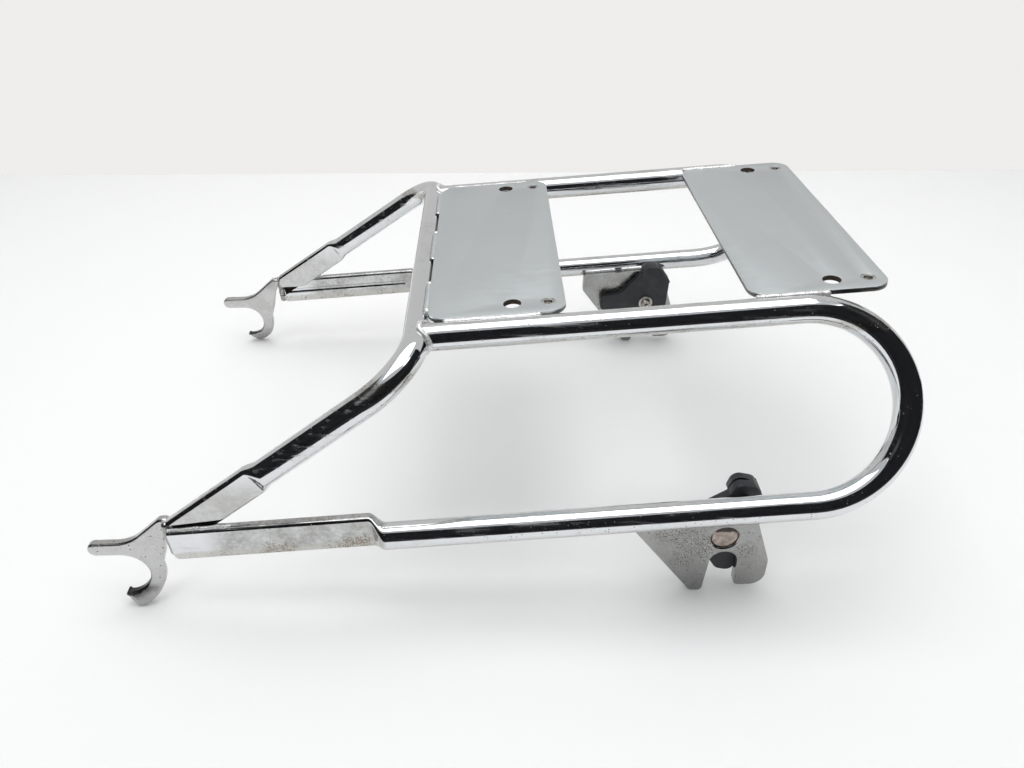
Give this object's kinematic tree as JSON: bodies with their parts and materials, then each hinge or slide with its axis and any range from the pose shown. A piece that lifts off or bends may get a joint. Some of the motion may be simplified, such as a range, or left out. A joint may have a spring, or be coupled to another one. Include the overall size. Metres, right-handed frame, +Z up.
{
  "type": "top box mount",
  "caption": "Detachable tube rack for a motorbike's top box: leaning side loops, front hoop, two drilled plates, front hooks and rear latch brackets with levers.",
  "frame": {"origin": "bottom centre of the bounding box, at the lowest points of the hooks and latch brackets", "axes": "+X towards the rear, -X towards the hooks' open side, +Y the rack's right side, +Z up"},
  "size_m": [0.4792, 0.3394, 0.1851],
  "materials": {
    "chromed_tube": "bright chrome plating with pits and rust specks",
    "plate": "chrome plating on flat steel plate, slightly dull",
    "plated_nut": "plated, dull",
    "dock_steel": "satin plating over cut steel plate",
    "pin_steel": "weathered, tan tarnish",
    "fastener_steel": "dull plating",
    "black_lever": "near black, worn satin",
    "weld": "rippled bead under the plating"
  },
  "bodies": {
    "rack": {"front_hoop": "chromed_tube", "left_side_tube": "chromed_tube", "right_side_tube": "chromed_tube", "front_plate": "plate", "rear_plate": "plate", "left_front_clinch_nut": "plated_nut", "right_front_clinch_nut": "plated_nut", "left_rear_clinch_nut": "plated_nut", "right_rear_clinch_nut": "plated_nut", "left_hook": "dock_steel", "right_hook": "dock_steel", "left_latch_bracket": "dock_steel", "right_latch_bracket": "dock_steel", "left_pivot_pin": "pin_steel", "right_pivot_pin": "pin_steel", "left_wave_washer": "fastener_steel", "right_wave_washer": "fastener_steel", "left_washer": "fastener_steel", "right_washer": "fastener_steel", "left_screw": "fastener_steel", "right_screw": "fastener_steel", "front_plate_welds": "weld", "rear_plate_welds": "weld", "left_hook_weld": "weld", "right_hook_weld": "weld", "left_bracket_welds": "weld", "right_bracket_welds": "weld", "left_corner_weld": "weld", "right_corner_weld": "weld"},
    "left_lever": {"left_latch_lever": "black_lever"},
    "right_lever": {"right_latch_lever": "black_lever"}
  },
  "joints": [
    {"name": "left_latch_pivot", "type": "hinge", "parent": "rack", "child": "left_lever", "pos_m": [0.13657, -0.14396, 0.044], "axis": [0, 1, 0], "range_deg": [-13, 67]},
    {"name": "right_latch_pivot", "type": "hinge", "parent": "rack", "child": "right_lever", "pos_m": [0.13657, 0.14396, 0.044], "axis": [0, 1, 0], "range_deg": [0, 80]}
  ]
}
